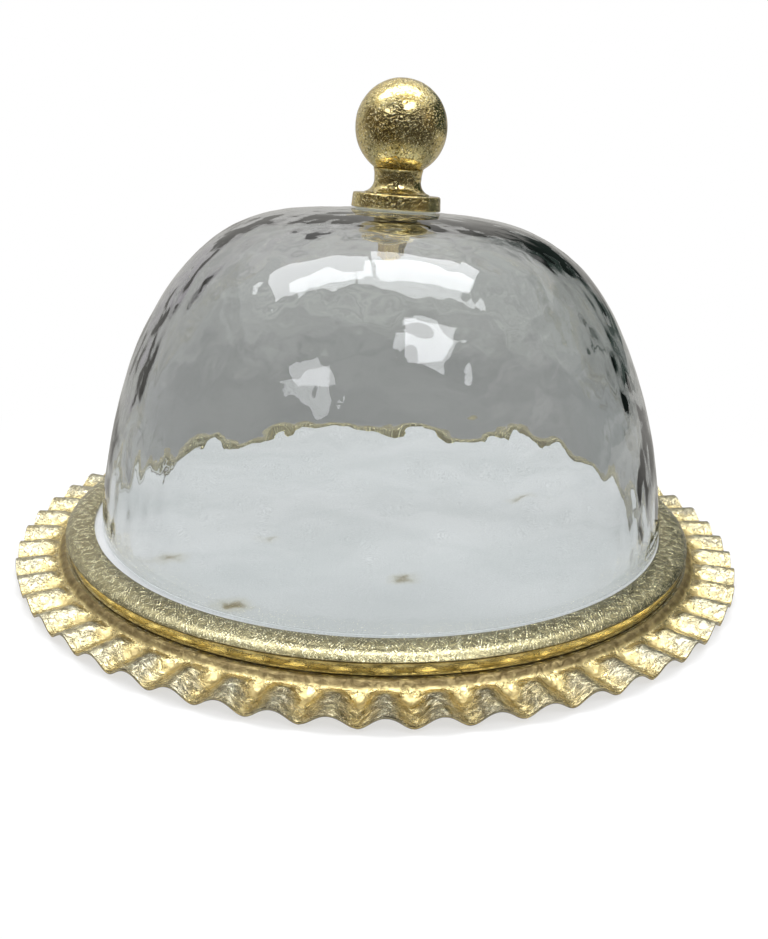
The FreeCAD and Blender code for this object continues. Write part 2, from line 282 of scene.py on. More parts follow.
# -------------------------------- node helpers
class Tree:
    """Short calls to build one node tree."""

    def __init__(self, tree):
        self.tree = tree
        self.tree.nodes.clear()

    def add(self, kind, settings=None, inputs=None):
        """A new node. An input is linked if it's given another node's socket, and set if it's a value."""
        made = self.tree.nodes.new("ShaderNode" + kind)
        for key, value in (settings or {}).items():
            setattr(made, key, value)
        for key, value in (inputs or {}).items():
            if isinstance(value, bpy.types.NodeSocket):
                self.tree.links.new(value, made.inputs[key])
            else:
                made.inputs[key].default_value = value
        return made

    def place(self):
        """The object's own coordinates, in metres."""
        return self.add("TexCoord").outputs["Object"]

    def noise(self, at, scale, detail=3.0, roughness=0.55, distortion=0.0):
        """Noise with scale blobs to the metre."""
        inputs = {
            "Vector": at,
            "Scale": scale,
            "Detail": detail,
            "Roughness": roughness,
            "Distortion": distortion,
        }
        return self.add("TexNoise", None, inputs).outputs["Fac"]

    def cells(self, at, scale):
        """How far each point is from the middle of its cell."""
        return self.add("TexVoronoi", None, {"Vector": at, "Scale": scale}).outputs["Distance"]

    def warped(self, at, amount, scale):
        """Coordinates pushed about by noise, so that a pattern loses its straight lines."""
        push = self.add("TexNoise", None, {"Vector": at, "Scale": scale, "Detail": 2.0}).outputs["Color"]
        centred = self.vector("SUBTRACT", push, (0.5, 0.5, 0.5))
        scaled = self.add("VectorMath", {"operation": "SCALE"}, {0: centred, "Scale": 2 * amount})
        return self.vector("ADD", at, scaled.outputs[0])

    def vector(self, operation, a, b):
        return self.add("VectorMath", {"operation": operation}, {0: a, 1: b}).outputs[0]

    def length(self, a):
        return self.add("VectorMath", {"operation": "LENGTH"}, {0: a}).outputs["Value"]

    def dot(self, a, b):
        return self.add("VectorMath", {"operation": "DOT_PRODUCT"}, {0: a, 1: b}).outputs["Value"]

    def split(self, a):
        """The x, y and z of a vector."""
        return self.add("SeparateXYZ", None, {0: a}).outputs

    def math(self, operation, a, b=0.0):
        return self.add("Math", {"operation": operation}, {0: a, 1: b}).outputs[0]

    def spread(self, value, low, high, to_low=0.0, to_high=1.0):
        """value taken from low..high to to_low..to_high, and held there outside it."""
        inputs = {"Value": value, "From Min": low, "From Max": high, "To Min": to_low, "To Max": to_high}
        return self.add("MapRange", {"interpolation_type": "SMOOTHSTEP"}, inputs).outputs["Result"]

    def mix(self, share, a, b):
        """Colour a, with a share of colour b. The mix node's sockets for colours are 6, 7 and, out, 2."""
        made = self.add("Mix", {"data_type": "RGBA"}, {0: share})
        for index, value in ((6, a), (7, b)):
            if isinstance(value, bpy.types.NodeSocket):
                self.tree.links.new(value, made.inputs[index])
            else:
                made.inputs[index].default_value = (*value, 1.0)
        return made.outputs[2]

    def bump(self, height, distance, strength=1.0, under=None):
        inputs = {"Height": height, "Distance": distance, "Strength": strength}
        if under is not None:
            inputs["Normal"] = under
        return self.add("Bump", None, inputs).outputs["Normal"]

    def mark(self):
        """The value that mesh_object keeps for each vertex."""
        return self.add("Attribute", {"attribute_name": "mark"}).outputs["Fac"]

    def blend(self, share, a, b):
        """A node that mixes two shader nodes."""
        return self.add("MixShader", None, {0: share, 1: a.outputs[0], 2: b.outputs[0]})

    def principled(self, inputs):
        return self.add("BsdfPrincipled", None, inputs)

    def glow(self, colour):
        """Light of its own. A plain colour has four numbers here."""
        return self.add("Emission", None, {"Color": colour, "Strength": 1.0})

    def out(self, shader, kind="OutputMaterial"):
        """Ends the tree in a shader node."""
        self.add(kind, None, {"Surface": shader.outputs[0]})


def new_material(name):
    material = bpy.data.materials.new(name)
    material.use_nodes = True
    return material, Tree(material.node_tree)


def wear(piece, material):
    """Gives a piece its one material."""
    piece.data.materials.clear()
    piece.data.materials.append(material)


# -------------------------------- materials
# noise's second number is its blobs to the metre. spread's numbers say where a noise, which is mostly from
# 0.3 to 0.7, begins and ends to count, and what it then gives. Colours are in linear light.
worn_gold = (0.97, 0.92, 0.64)
fleck_gold = (0.98, 0.93, 0.70)
vein_grey = (0.52, 0.54, 0.55)
spot_halo = (0.46, 0.42, 0.30)
spot_core = (0.22, 0.18, 0.10)

# where the marble's brown spots are: x, y and width in metres, and how strong
marble_spots = (
    (-0.0841, -0.0633, 0.0120, 0.70),
    (-0.0528, -0.1012, 0.0100, 0.90),
    (0.0078, -0.0793, 0.0090, 0.70),
    (0.0720, 0.0120, 0.0110, 0.50),
    (-0.0480, -0.0420, 0.0070, 0.35),
)


def gilt(name, pale, deep, dark, roughness, leaf_size, crinkle, relief=None):
    """Metal leaf over cast metal: pale and deep patches, crinkles about leaf_size metres across, and creases
    with grime in them. The mesh's mark says how much painted shade a point gets, in undercuts, grooves,
    corners and flute valleys, or how much patina, at the flute roots: up to a half it brings in the deep
    colour, and from there to 1 the dark one. relief, if given, gives a share from 0 to 1 that stands up from
    the leaf and is worn bright, with its height in metres."""
    material, t = new_material(name)
    at = t.place()
    patch_scale = 38.0
    dirt_scale = 260.0
    polish_scale = 420.0
    most_shade_and_patina = 0.85
    satin = 0.25
    patches = t.spread(t.noise(at, patch_scale, 4.0, 0.6, 0.6), 0.38, 0.68, 0.0, 0.6)
    mark = t.math("ADD", t.mark(), t.spread(t.noise(at, dirt_scale, 3.0), 0.2, 0.8, -0.12, 0.12))
    # painted shade from the mark brings in the deep colour here
    colour = t.mix(t.math("MAXIMUM", patches, t.spread(mark, 0.05, 0.5)), pale, deep)
    loose = t.warped(at, 0.5 * leaf_size, 0.6 / leaf_size)
    folds = t.noise(loose, 0.9 / leaf_size, 5.0, 0.62, 0.7)
    colour = t.mix(t.spread(folds, 0.36, 0.64, 0.35 * crinkle, 0.0), colour, dark)
    crease = t.math("ABSOLUTE", t.math("SUBTRACT", folds, 0.5))
    crease_line = t.spread(crease, 0.0, 0.02, 1.0, 0.0)
    colour = t.mix(t.math("MULTIPLY", crease_line, 0.3 * crinkle), colour, dark)
    # painted shade: where the mark is high, in undercuts, grooves, corners and flute valleys, the colour goes
    # dark; at the flute roots the mark is patina
    colour = t.mix(t.spread(mark, 0.55, 1.0, 0.0, most_shade_and_patina), colour, dark)
    height = t.math("SUBTRACT", t.math("MULTIPLY", folds, 2.0), t.math("MULTIPLY", crease_line, 0.25))
    normal = t.bump(height, 0.13 * crinkle * leaf_size)
    if relief is not None:
        raised, relief_height = relief(t, at)
        normal = t.bump(raised, relief_height, 1.0, normal)
        colour = t.mix(raised, colour, worn_gold)
    rough = t.spread(t.noise(at, polish_scale, 3.0), 0.3, 0.7, roughness - 0.06, roughness + 0.08)
    rough = t.math("ADD", rough, t.spread(mark, 0.3, 0.9, 0.0, satin))
    t.out(t.principled({"Base Color": colour, "Metallic": 1.0, "Roughness": rough, "Normal": normal}))
    return material


def speckled_gilt(name, pale, deep, dark, roughness):
    """Glossy cast gilding, full of fine pits and specks. Deeper where the mesh's mark is high."""
    material, t = new_material(name)
    at = t.place()
    patch_scale = 60.0
    grain_scale = 1050.0
    lump_scale = 420.0
    polish_scale = 300.0
    grain_height = 0.00016
    lump_height = 0.00012
    patches = t.spread(t.noise(at, patch_scale, 3.0, 0.6, 0.5), 0.35, 0.65)
    colour = t.mix(patches, pale, deep)
    colour = t.mix(t.spread(t.mark(), 0.2, 0.9, 0.0, 0.7), colour, dark)
    grain = t.noise(at, grain_scale, 2.0, 0.5)
    pits = t.spread(grain, 0.34, 0.43, 1.0, 0.0)
    flecks = t.spread(grain, 0.58, 0.66)
    colour = t.mix(t.math("MULTIPLY", pits, 0.6), colour, dark)
    colour = t.mix(t.math("MULTIPLY", flecks, 0.5), colour, fleck_gold)
    height = t.math("SUBTRACT", t.math("MULTIPLY", flecks, 0.8), pits)
    normal = t.bump(height, grain_height)
    normal = t.bump(t.noise(at, lump_scale, 3.0, 0.55), lump_height, 0.6, normal)
    rough = t.spread(t.noise(at, polish_scale, 3.0), 0.3, 0.7, roughness - 0.04, roughness + 0.08)
    t.out(t.principled({"Base Color": colour, "Metallic": 1.0, "Roughness": rough, "Normal": normal}))
    return material


def glass_material():
    """Clear blown glass, frosted where its foot is ground. Lamps and diffuse light go straight through it,
    so that it shades the marble softly."""
    material, t = new_material("blown_glass")
    at = t.place()
    ripple_scale = 150.0
    seed_scale = 80.0
    frost_scale = 900.0
    ripple_height = 0.00006
    ripple = t.noise(at, ripple_scale, 1.0, 0.5, 0.3)
    seeds = t.spread(t.cells(at, seed_scale), 0.0, 0.05, 1.0, 0.0)
    height = t.math("ADD", ripple, t.math("MULTIPLY", seeds, 0.6))
    clear = t.principled(
        {
            "Base Color": (0.955, 0.968, 0.962, 1.0),
            "Roughness": 0.0,
            "IOR": 1.5,
            "Transmission Weight": 1.0,
            "Normal": t.bump(height, ripple_height),
        }
    )
    frost = t.mix(t.noise(at, frost_scale, 3.0), (0.55, 0.57, 0.57), (0.72, 0.74, 0.75))
    ground = t.add("BsdfDiffuse", None, {"Color": frost})
    shader = t.blend(t.spread(t.mark(), 0.3, 0.9), clear, ground)
    through = t.add("BsdfTransparent", None, {"Color": (0.90, 0.915, 0.91, 1.0)})
    path = t.add("LightPath")
    straight = t.math("MAXIMUM", path.outputs["Is Shadow Ray"], path.outputs["Is Diffuse Ray"])
    t.out(t.blend(straight, shader, through))
    return material


def marble_material():
    """White marble with soft grey veins and a few olive-brown spots, and painted shade that darkens its
    front.
    """
    material, t = new_material("white_marble")
    at = t.place()
    cloud_scale = 16.0
    vein_scale = 17.0
    # the stone's bedding runs across the plate, at a slant
    bedding = {"Vector": at, "Rotation": (0.0, 0.0, -0.35), "Scale": (0.4, 1.0, 1.0)}
    turned = t.add("Mapping", None, bedding).outputs[0]
    cloud = t.noise(turned, cloud_scale, 5.0, 0.62, 0.8)
    colour = t.mix(t.spread(cloud, 0.35, 0.7), (0.70, 0.70, 0.715), (0.60, 0.61, 0.62))
    # painted shade: the slab is painted darker grey towards its front, at -Y
    _, depth, _ = t.split(t.warped(at, 0.02, 20.0))
    front = t.spread(depth, -0.125, -0.05, 1.0, 0.0)
    colour = t.mix(front, colour, (0.52, 0.53, 0.54))
    bent = t.warped(turned, 0.02, 14.0)
    vein = t.math("ABSOLUTE", t.math("SUBTRACT", t.noise(bent, vein_scale, 5.0, 0.6), 0.5))
    colour = t.mix(t.spread(vein, 0.0, 0.05, 0.2, 0.0), colour, vein_grey)
    ragged = t.warped(at, 0.004, 160.0)
    for x, y, width, strength in marble_spots:
        off = t.vector("SUBTRACT", ragged, (x, y, marble_top * METRES))
        away = t.length(t.vector("MULTIPLY", off, (1.0, 1.3, 1.0)))
        halo = t.spread(away, 0.2 * width, width, 0.55 * strength, 0.0)
        colour = t.mix(halo, colour, spot_halo)
        core = t.spread(away, 0.1 * width, 0.5 * width, strength, 0.0)
        colour = t.mix(core, colour, spot_core)
    grain = t.noise(at, 2600.0, 2.0)
    shader = t.principled(
        {
            "Base Color": colour,
            "Roughness": t.spread(grain, 0.3, 0.7, 0.2, 0.34),
            "Normal": t.bump(t.noise(at, 55.0, 3.0), 0.0002, 0.4),
            "Subsurface Weight": 0.06,
            "Subsurface Radius": (0.004, 0.004, 0.004),
        }
    )
    t.out(shader)
    return material


def plain_material(name, pale, dark, roughness, grain_scale, bump_mm, metallic=0.0):
    """A quiet material with grain: steel, brass, nylon, silicone, felt or rubber."""
    material, t = new_material(name)
    at = t.place()
    grain = t.noise(at, grain_scale, 4.0, 0.6)
    blotch = t.noise(at, 0.12 * grain_scale, 2.0)
    colour = t.mix(t.spread(t.math("MULTIPLY", grain, blotch), 0.12, 0.4), dark, pale)
    shader = t.principled(
        {
            "Base Color": colour,
            "Metallic": metallic,
            "Roughness": t.spread(grain, 0.3, 0.7, roughness - 0.08, roughness + 0.1),
            "Normal": t.bump(grain, bump_mm * METRES),
        }
    )
    t.out(shader)
    return material


# -------------------------------- the hammered ring
def ring_relief(points, angles, along):
    """Height of the hammered skin: a worn lattice of low raised lines over shallow dents."""
    lattice_pitch = 4.4
    line_height = 0.07
    line_share = 0.2
    rows, count = points.shape[:2]
    run = np.tile(angles * post_circle, (rows, 1))
    across = np.tile(along[:, None], (1, count))
    wander = noise_at(points, 5.0, 1) * 1.1
    line = np.zeros((rows, count))
    for slant in (1, -1):
        turn = (0.8 * run + slant * (across + wander)) / lattice_pitch
        line = np.maximum(line, 1 - smooth_step(np.abs(turn - np.round(turn)) / line_share))
    worn = smooth_step(0.6 + 0.9 * noise_at(points, 9.0, 2))
    dents = noise_at(points, 6.0, 3) * 0.07 + noise_at(points, 2.0, 4) * 0.02
    return line_height * (line * worn - 1) + dents


def dashes(t, at):
    """Short raised dashes slanting both ways, as a punch leaves them: how much of one each point is, and
    their height in metres."""
    dash_pitch = 0.0013
    dash_length = 0.0026
    dash_height = 0.00028
    loose = t.warped(at, 0.0006, 260.0)
    x, y, _ = t.split(loose)
    run = t.math("MULTIPLY", t.math("ARCTAN2", y, x), post_circle * METRES)
    out = t.length(t.vector("MULTIPLY", loose, (1.0, 1.0, 0.0)))
    worn_shoulder = t.spread(out, (ring_outer - 4.5) * METRES, (ring_outer - 2.0) * METRES, 1.0, 0.4)
    raised = 0.0
    for slant, seed in ((0.55, 0.0), (-0.9, 3.7)):
        slanted = t.math("ADD", run, t.math("MULTIPLY", out, slant))
        dash = t.spread(t.math("SINE", t.math("MULTIPLY", slanted, 2 * pi / dash_pitch)), 0.3, 0.8)
        elsewhere = t.vector("ADD", at, (seed, seed, 0.0))
        gate = t.spread(t.noise(elsewhere, 1 / dash_length, 1.0), 0.50, 0.60)
        raised = t.math("MAXIMUM", raised, t.math("MULTIPLY", dash, gate))
    return t.math("MULTIPLY", raised, worn_shoulder), dash_height


def hammered_ring():
    """The ring that frames the marble, with its six posts."""
    spacing = 0.56
    round_count = 1500
    inner_edge = marble_top + ring_lip
    step_radius = marble_radius + 0.5
    # the seat on the slab, the foot on the band, the rolled shoulder, the flat and the eased inner edge
    outline = [
        (ring_inner, marble_top),
        (step_radius, marble_top),
        (step_radius, band_top),
        (ring_outer - 0.7, band_top),
        (ring_outer - 0.3, band_top + 0.2, "arc"),
        (ring_outer - 0.12, band_top + 0.6),
        (ring_outer - 1.7, inner_edge - 1.0, "arc"),
        (ring_outer - 4.8, inner_edge - 0.08),
        (ring_inner + 3.6, inner_edge + 0.32, "arc"),
        (ring_inner + 0.5, inner_edge - 0.08),
        (ring_inner + 0.15, inner_edge - 0.2, "arc"),
        (ring_inner, inner_edge - 0.55),
    ]
    path = trace(outline, spacing)
    points, normals, angles = swept(path, round_count, True)
    along = np.arange(len(path)) * spacing
    height = ring_relief(points, angles, along)
    # only the faces that show are hammered: not the seat on the slab or the foot on the band
    shows = smooth_step((path[:, 1] - band_top - 0.1) / 0.6)
    shows = shows * smooth_step((path[:, 0] - ring_inner - 0.2) / 0.6)
    shows *= np.where((path[:, 1] < marble_top + 0.2) & (path[:, 0] < step_radius + 1.0), 0.0, 1.0)
    points = points + normals * (height * shows[:, None])[..., None]
    parts = [swept_mesh(points, True)]
    post = [
        (screw_bore, collar_top),
        (post_radius, collar_top),
        (post_radius, band_top),
        (screw_bore, band_top),
    ]
    post_points, _, _ = swept(trace(post, spacing=1.2), count=24, closed=True)
    for place in post_places():
        parts.append(swept_mesh(post_points + place, True))
    # painted shade in the undercut and in the corner beside the marble, carried by the mark
    low = 1 - smooth_step((path[:, 1] - band_top - 0.35) / 0.7)
    corner = 0.4 * (1 - smooth_step((path[:, 0] - ring_inner - 0.1) / 0.7))
    painted_shade = np.tile(np.maximum(low, corner)[:, None], (1, round_count))
    piece = mesh_object("hammered_ring_skin", parts, painted_shade.ravel(), smooth_angle=50)
    pale, deep, dark = (0.50, 0.455, 0.27), (0.40, 0.345, 0.18), (0.05, 0.04, 0.02)
    leaf = gilt("gilt_ring", pale, deep, dark, roughness=0.18, leaf_size=0.0016, crinkle=0.6, relief=dashes)
    wear(piece, leaf)
    return piece


# -------------------------------- the band under the ring
def riser_band():
    """Bright, lightly dented band. It mirrors the ruffles below it."""
    spacing = 0.42
    round_count = 1120
    outline = [
        (band_outer - band_thickness, band_bottom),
        (band_outer - 0.8, band_bottom),
        (band_outer - 0.3, band_bottom + 0.15, "arc"),
        (band_outer - 0.12, band_bottom + 0.7),
        (band_outer - 0.02, band_bottom + 2.6, "arc"),
        (band_outer - 0.3, band_top),
        (band_outer - band_thickness, band_top),
    ]
    path = trace(outline, spacing)
    points, normals, _ = swept(path, round_count, True)
    shows = smooth_step((path[:, 0] - band_outer + 0.9) / 0.5)
    height = 0.015 * noise_at(points, 2.2, 7) + 0.07 * noise_at(points, 6.5, 8) - 0.05
    points = points + normals * (height * shows[:, None])[..., None]
    # painted shade: the band's foot, in the groove, and its top, under the ring's overhang, are darkened
    # through the mark
    low = 1 - smooth_step((path[:, 1] - band_bottom - 0.25) / 0.9)
    high = smooth_step((path[:, 1] - band_top + 1.15) / 0.6)
    painted_shade = np.tile(np.maximum(low, high)[:, None], (1, round_count))
    piece = mesh_object("riser_band_skin", [swept_mesh(points, True)], painted_shade.ravel(), smooth_angle=50)
    pale, deep, dark = (1.00, 0.86, 0.42), (0.96, 0.75, 0.29), (0.10, 0.06, 0.02)
    wear(piece, gilt("gilt_band", pale, deep, dark, roughness=0.12, leaf_size=0.0024, crinkle=0.12))
    return piece


# -------------------------------- the ruffled tray
def brim_levels(r, angle):
    """Heights of the brim's upper side, and how deep in a trough or valley a point is, 0 to 1."""
    drop = trough_depth * smooth_step((r - trough_start) / (trough_end - trough_start))
    rise = smooth_step((r - flute_start) / (flute_full - flute_start))
    turn = flute_count * angle / (2 * pi)
    number = np.round(turn) % flute_count
    # no two flutes are of quite the same depth
    uneven = 0.93 + 0.06 * np.sin(number * 12.9898) * np.cos(number * 4.1414)
    wave = np.cos(2 * pi * turn)
    # crests are a little broader and flatter than valleys
    wave = wave + 0.12 * (1 - wave**2)
    swing = flute_depth / 2 * rise * uneven * wave
    level = collar_top - drop + swing
    return level, np.clip((collar_top - level) / (trough_depth + flute_depth / 2), 0, 1)


def ruffled_brim():
    """Closed skin of the fluted brim: underside, rim and upper side."""
    per_flute = 28
    count = flute_count * per_flute
    rim_inset = 0.35
    edge_width = 0.75
    edge_bulge = 0.6
    upper_radii = np.linspace(brim_root, rim_radius - edge_width, 33)
    lower_radii = np.linspace(rim_radius - edge_width, brim_root, 14)
    edge_turns = np.linspace(0, pi, 7)[1:-1]
    angles = 2 * pi * np.arange(count) / count
    wobble = noise_at(np.stack([np.cos(angles) * 9, np.sin(angles) * 9, 0 * angles], axis=1), 1.0, 11)
    rim_out = rim_radius - rim_inset + 0.25 * wobble

    rows = []
    marks = []

    def to_rim(r):
        """A radius, moved with the uneven rim where it's close to it."""
        return r + (rim_out - rim_radius + rim_inset) * smooth_step((r - flute_full) / 7.0)

    def add_row(r, below):
        """One row of points at radius r. below goes from 0 on the upper side to 1 on the underside."""
        level, depth = brim_levels(r, angles)
        thinned = smooth_step((r - trough_start) / (flute_full - trough_start))
        thickness = sheet - (sheet - rim_sheet) * thinned
        rows.append(np.stack([r * np.cos(angles), r * np.sin(angles), level - below * thickness], axis=1))
        # painted shade: the groove at the band's foot and the flute valleys, most near their roots, are
        # darkened through the mark; the brown at the flute roots is patina
        groove = 1 - smooth_step((r - band_outer - 0.9) / 0.7)
        patina = 0.9 * smooth_step((r - trough_start + 0.7) / 0.6)
        patina = patina * (1 - smooth_step((r - trough_start - 1.4) / 2.6))
        valley = depth * (0.42 + 0.36 * (1 - smooth_step((r - flute_full + 1.0) / 5.0)))
        marks.append(np.maximum(np.maximum(valley, patina), groove))

    for r in upper_radii:
        add_row(to_rim(r), 0.0)
    for turn in edge_turns:
        add_row(rim_out - edge_width + edge_bulge * np.sin(turn), 0.5 * (1 - np.cos(turn)))
    for r in lower_radii:
        add_row(to_rim(r), 1.0)
    points = np.array(rows)
    marks = np.array(marks)

    # hand-laid leaf over a hand-worked casting
    on_top = smooth_step((upper_radii - brim_root) / 1.5)
    on_edge = np.full(len(edge_turns), 0.6)
    on_underside = 0.4 * smooth_step((lower_radii - brim_root) / 3.0)
    amount = np.concatenate([on_top, on_edge, on_underside])
    creases = 0.09 * noise_at(points, 2.6, 21) + 0.04 * noise_at(points, 1.1, 22)
    creases = creases + 0.16 * noise_at(points, 7.0, 23)
    points = points + surface_normals(points) * ((creases - 0.12) * amount[:, None])[..., None]
    vertices = points[::-1].reshape(-1, 3)
    return (vertices, grid_faces(len(rows), count, True)), marks[::-1].ravel()


def surface_normals(points):
    """Outward normals of a closed grid whose rows run inner edge, upper side, rim, underside."""
    along = np.roll(points, -1, axis=0) - np.roll(points, 1, axis=0)
    around = np.roll(points, -1, axis=1) - np.roll(points, 1, axis=1)
    normal = np.cross(along, around)
    return normal / np.maximum(np.linalg.norm(normal, axis=2, keepdims=True), 1e-9)


def tray_pan():
    """The tray's floor, wall and collar, with countersunk holes for the ring's screws."""
    hole_radius = 1.7
    head_radius = 2.85
    sink_depth = head_radius - hole_radius
    collar_bottom = collar_top - sheet
    floor_bottom = floor_top - sheet
    outline = [
        (0, floor_bottom),
        (recess_radius + pan_wall, floor_bottom),
        (recess_radius + pan_wall, collar_bottom),
        (brim_root, collar_bottom),
        (brim_root, collar_top),
        (recess_radius, collar_top),
        (recess_radius, floor_top),
        (0, floor_top),
    ]
    pan_points, _, _ = swept(trace(outline, spacing=9.0, closed=False), count=180, closed=False)
    pan = mesh_object("tray_pan", [swept_mesh(pan_points, False)])
    below, above = collar_bottom - 1, collar_top + 1
    cutter_outline = [
        (0, below),
        (head_radius, below),
        (head_radius, collar_bottom),
        (hole_radius, collar_bottom + sink_depth),
        (hole_radius, above),
        (0, above),
    ]
    cutter_points, _, _ = swept(np.array(cutter_outline, float), count=28, closed=False)
    cutters = [swept_mesh(cutter_points + place, False) for place in post_places()]
    cutter = mesh_object("tray_drills", cutters)
    cut = pan.modifiers.new("holes", "BOOLEAN")
    cut.operation = "DIFFERENCE"
    cut.solver = "EXACT"
    cut.object = cutter
    graph = bpy.context.evaluated_depsgraph_get()
    drilled = bpy.data.meshes.new_from_object(pan.evaluated_get(graph))
    vertices = np.array([vertex.co for vertex in drilled.vertices]) / METRES
    faces = [tuple(face.vertices) for face in drilled.polygons]
    for helper in (pan, cutter):
        mesh = helper.data
        bpy.data.objects.remove(helper)
        bpy.data.meshes.remove(mesh)
    bpy.data.meshes.remove(drilled)
    return vertices, faces


def ruffled_tray():
    """The tray: its brim and its pan."""
    brim, marks = ruffled_brim()
    piece = mesh_object("ruffled_tray_skin", [brim, tray_pan()], marks, smooth_angle=60)
    pale, deep, dark = (0.57, 0.54, 0.40), (0.80, 0.66, 0.32), (0.17, 0.12, 0.055)
    wear(piece, gilt("gilt_leaf", pale, deep, dark, roughness=0.19, leaf_size=0.0028, crinkle=0.95))
    return piece


# -------------------------------- the glass bell
def bell_outside():
    """Points on the outside of the bell from just above its foot to the crown flat, evenly spaced, as
    (r, z, share), where share is how high up the bell a point is, 0 to 1."""
    spacing = 2.0
    fine_steps = 6000
    share = 1 - (1 - np.linspace(0, 1, fine_steps)) ** 3
    closing = (1 - share**shoulder_power) ** (1 / crown_power)
    radius = (dome_foot_radius + dome_swell * share) * closing
    keep = (radius >= crown_flat) & (dome_height * share > 1.5 * foot_ease)
    radius, height, share = radius[keep], dome_height * share[keep], share[keep]
    length = np.concatenate([[0], np.cumsum(np.hypot(np.diff(radius), np.diff(height)))])
    at = np.linspace(0, length[-1], int(length[-1] / spacing))
    return np.stack([np.interp(at, length, values) for values in (radius, height, share)], axis=1)


def bell_path():
    """Closed path around the bell's wall, and for each point whether it's on the inner skin."""
    flat_count = 8
    outside = bell_outside()
    tangent = np.gradient(outside[:, :2], axis=0)
    tangent /= np.linalg.norm(tangent, axis=1, keepdims=True)
    thickness = glass_wall + (crown_wall - glass_wall) * outside[:, 2] ** 4
    inside = outside[:, :2] + np.stack([-tangent[:, 1], tangent[:, 0]], axis=1) * thickness[:, None]
    inside[-1] = (min(inside[-1, 0], crown_flat), dome_height - crown_wall)
    turns = np.linspace(-pi / 2, 0, 4)
    middle = dome_foot_radius - glass_wall / 2
    straight = glass_wall / 2 - foot_ease
    foot_out = np.stack([straight + foot_ease * np.cos(turns), foot_ease + foot_ease * np.sin(turns)], 1)
    foot_in = foot_out[::-1] * (-1, 1) + (middle, 0)
    foot_out = foot_out + (middle, 0)
    flat = np.linspace(crown_flat, glass_hole, flat_count + 1)[1:]
    crown_top = np.stack([flat, np.full(flat_count, dome_height)], 1)
    crown_under = np.stack([flat[::-1], np.full(flat_count, dome_height - crown_wall)], 1)
    path = np.concatenate([foot_out, outside[:, :2], crown_top, crown_under, inside[::-1], foot_in])
    is_inner = np.zeros(len(path))
    is_inner[len(foot_out) + len(outside) + flat_count:] = 1
    return path, is_inner


def bell_waves(points, angles, path, is_inner):
    """How far each point is pushed out of the wall. The two skins have waves of their own, and bend together
    in the slow ones. The foot and the seat of the knob are calm."""
    share = np.clip(path[:, 1] / dome_height, 0, 1)
    calm = smooth_step((path[:, 1] - 1.0) / 10.0) * smooth_step((path[:, 0] - crown_flat - 0.5) / 5.0)
    near_crown = smooth_step((share - 0.72) / 0.2)
    length = np.cumsum(np.hypot(*np.gradient(path, axis=0).T))
    length = np.abs(length - length[len(path) // 2])
    around = np.stack([np.cos(angles), np.sin(angles), 0 * angles], axis=1)[None]
    upward = np.array([0, 0, 1.0])
    waves = np.zeros(points.shape[:2])
    for inner, seed in ((0, 31), (1, 41)):
        rows = is_inner == inner
        here = points[rows]
        rings = 6 * around + upward * (length[rows] / 4.2)[:, None, None]
        drips = 22 * around + upward * (length[rows] / 22.0)[:, None, None]
        streaks = 5 * around + upward * (length[rows] / 4.5)[:, None, None]
        crown_share = near_crown[rows][:, None]
        # from slow and deep to fine and shallow: a depth times a noise of a size, both in millimetres
        waves[rows] = (
            0.50 * noise_at(here, 40.0, seed)
            + 0.20 * noise_at(here, 18.0, seed + 1)
            + (0.09 + 0.17 * inner) * noise_at(here, 9.0, seed + 3) * (1 - 0.6 * crown_share)
            + 0.10 * noise_at(rings, 1.0, seed + 2) * crown_share
            + 0.05 * inner * noise_at(here, 4.6, seed + 6)
            + (0.05 + 0.05 * inner) * noise_at(drips, 1.0, seed + 4) * (1 - crown_share)
            + 0.05 * noise_at(streaks, 1.0, seed + 5) * (1 - crown_share)
        )
    body = 0.9 * noise_at(points, 80.0, 51)
    sign = np.where(is_inner == 1, -1.0, 1.0)
    return (waves + body * sign[:, None]) * calm[:, None]


def leaning(points, level):
    """The bell's points set on the marble. The crown runs out towards +X: each level is shifted and tipped
    about its place on the bell's axis."""
    amount = np.clip(level / dome_height, 0, 1) ** 2
    tilt = np.radians(crown_tilt * amount)[:, None]
    level = level[:, None]
    up = points[:, :, 2] - level
    x = points[:, :, 0] * np.cos(tilt) + up * np.sin(tilt) + seat_shift + crown_shift * amount[:, None]
    z = marble_top + level - points[:, :, 0] * np.sin(tilt) + up * np.cos(tilt)
    return np.stack([x, points[:, :, 1], z], axis=2)


def glass_bell():
    """Double-walled bell, whose wall bends what is seen through it, with a ground foot."""
    round_count = 380
    path, is_inner = bell_path()
    points, normals, angles = swept(path, round_count, True)
    points = points + normals * bell_waves(points, angles, path, is_inner)[..., None]
    ground = np.tile((1 - smooth_step((path[:, 1] - 0.05) / 0.4))[:, None], (1, round_count))
    parts = [swept_mesh(leaning(points, path[:, 1]), True)]
    piece = mesh_object("glass_bell", parts, ground.ravel())
    wear(piece, glass_material())
    return piece


